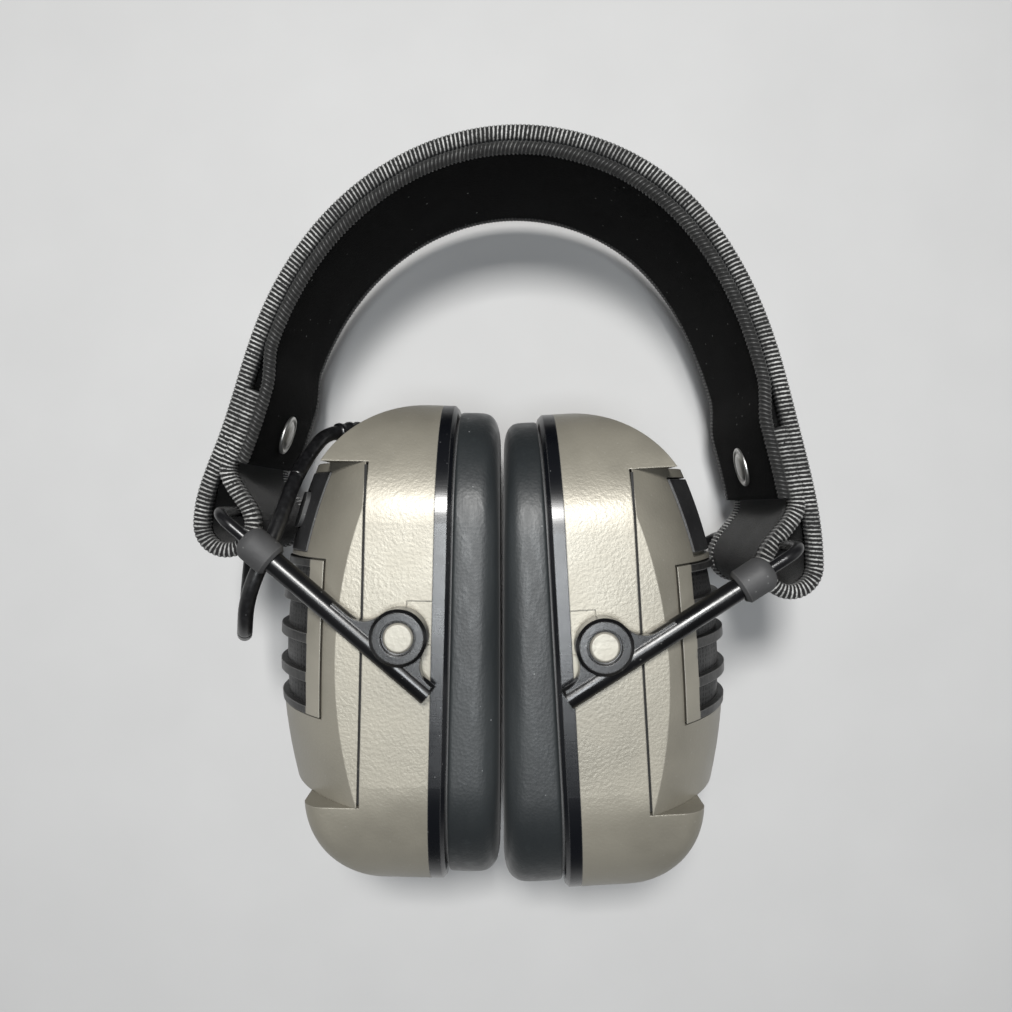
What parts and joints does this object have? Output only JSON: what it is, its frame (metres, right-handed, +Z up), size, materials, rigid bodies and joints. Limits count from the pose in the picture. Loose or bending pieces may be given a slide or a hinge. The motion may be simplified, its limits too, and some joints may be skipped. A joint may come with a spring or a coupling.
{
  "type": "hearing protection earmuffs",
  "caption": "Electronic hearing protection earmuffs folded flat: fabric headband, sliding wire arms and padded cups with louvred grilles.",
  "frame": {"origin": "centre of the bounding box, on the floor the earmuffs lie on", "axes": "+X to the right cup, +Y to the crown of the headband, +Z up, out of the front faces of the cups"},
  "size_m": [0.136, 0.1693, 0.086],
  "materials": {
    "liner_fabric": "soft matte",
    "spring_plastic": "satin",
    "strap_fabric": "matte woven",
    "sleeve_plastic": "gloss",
    "plate_plastic": "gloss",
    "shell_plastic": "fine texture",
    "cable_rubber": "satin",
    "dark_rubber": "matte",
    "board_green": "lacquered",
    "screw_steel": "plated",
    "inner_plastic": "satin",
    "cushion_skin": "satin leatherette",
    "foam": "open foam",
    "mesh_dark": "woven mesh",
    "snap_metal": "polished rim",
    "pin_plastic": "satin",
    "button_rubber": "matte",
    "collar_rubber": "matte",
    "black_wire": "gloss black",
    "binding_tape": "ribbed",
    "cell_wrap": "satin"
  },
  "bodies": {
    "headband": {"headband_strap": "strap_fabric", "headband_liner": "liner_fabric", "headband_spring": "spring_plastic", "strap_binding": "binding_tape", "liner_binding": "binding_tape", "snap_caps": "snap_metal", "snap_studs": "snap_metal"},
    "left_arm": {"left_stirrup": "black_wire", "left_wire_stops": "black_wire"},
    "left_slider": {"left_front_sleeve": "sleeve_plastic", "left_back_sleeve": "sleeve_plastic", "left_sleeve_collars": "collar_rubber"},
    "left_cup": {"left_base_plate": "plate_plastic", "left_base_shell": "shell_plastic", "left_cable": "cable_rubber", "left_cable_gland": "dark_rubber", "left_circuit_board": "board_green", "left_control_pad": "dark_rubber", "left_cover_screws": "screw_steel", "left_cover_seal": "dark_rubber", "left_cushion_ring": "inner_plastic", "left_ear_cushion": "cushion_skin", "left_foam_liner": "foam", "left_grille_frame": "shell_plastic", "left_grille_mesh": "mesh_dark", "left_microphone": "snap_metal", "left_outer_cover": "shell_plastic", "left_pivot_pins": "pin_plastic", "left_speaker": "inner_plastic"},
    "left_power_button": {"left_power_button": "button_rubber"},
    "left_volume_down_button": {"left_volume_down_button": "button_rubber"},
    "left_volume_up_button": {"left_volume_up_button": "button_rubber"},
    "right_arm": {"right_stirrup": "black_wire", "right_wire_stops": "black_wire"},
    "right_slider": {"right_front_sleeve": "sleeve_plastic", "right_back_sleeve": "sleeve_plastic", "right_sleeve_collars": "collar_rubber"},
    "right_cup": {"right_base_plate": "plate_plastic", "right_base_shell": "shell_plastic", "right_batteries": "cell_wrap", "right_battery_tray": "inner_plastic", "right_circuit_board": "board_green", "right_cover_screws": "screw_steel", "right_cover_seal": "dark_rubber", "right_cushion_ring": "inner_plastic", "right_ear_cushion": "cushion_skin", "right_foam_liner": "foam", "right_grille_frame": "shell_plastic", "right_grille_mesh": "mesh_dark", "right_microphone": "snap_metal", "right_outer_cover": "shell_plastic", "right_pivot_pins": "pin_plastic", "right_speaker": "inner_plastic"},
    "right_battery_door": {"right_battery_door": "dark_rubber"}
  },
  "joints": [
    {"name": "left_fold", "type": "hinge", "parent": "headband", "child": "left_arm", "pos_m": [-0.05922, 0.00101, 0.043], "axis": [0, 0, -1], "range_deg": [0, 48], "deforming": ["left_cable"]},
    {"name": "left_height", "type": "slide", "parent": "left_arm", "child": "left_slider", "axis": [0.7593, -0.6508, 0], "range_m": [0, 0.012]},
    {"name": "left_swivel", "type": "hinge", "parent": "left_slider", "child": "left_cup", "pos_m": [-0.02205, -0.024, 0.043], "axis": [0, 0, 1], "range_deg": [-6, 10], "deforming": ["left_ear_cushion"]},
    {"name": "right_fold", "type": "hinge", "parent": "headband", "child": "right_arm", "pos_m": [0.05941, -0.00613, 0.043], "axis": [0, 0, 1], "range_deg": [0, 52]},
    {"name": "right_height", "type": "slide", "parent": "right_arm", "child": "right_slider", "axis": [-0.8415, -0.5402, 0], "range_m": [0, 0.012]},
    {"name": "right_swivel", "type": "hinge", "parent": "right_slider", "child": "right_cup", "pos_m": [0.01915, -0.0258, 0.043], "axis": [0, 0, -1], "range_deg": [-6, 10], "deforming": ["right_ear_cushion"]},
    {"name": "left_volume_down_press", "type": "slide", "parent": "left_cup", "child": "left_volume_down_button", "axis": [0.9997, -0.0227, 0], "range_m": [0, 0.0008], "stiffness_N_per_m": 900, "springref_m": -0.0006},
    {"name": "left_power_press", "type": "slide", "parent": "left_cup", "child": "left_power_button", "axis": [0.9997, -0.0227, 0], "range_m": [0, 0.0008], "stiffness_N_per_m": 900, "springref_m": -0.0006},
    {"name": "left_volume_up_press", "type": "slide", "parent": "left_cup", "child": "left_volume_up_button", "axis": [0.9997, -0.0227, 0], "range_m": [0, 0.0008], "stiffness_N_per_m": 900, "springref_m": -0.0006},
    {"name": "right_battery_door_hinge", "type": "hinge", "parent": "right_cup", "child": "right_battery_door", "pos_m": [0.04277, 0.00857, 0.043], "axis": [0, 0, 1], "range_deg": [0, 22]}
  ]
}
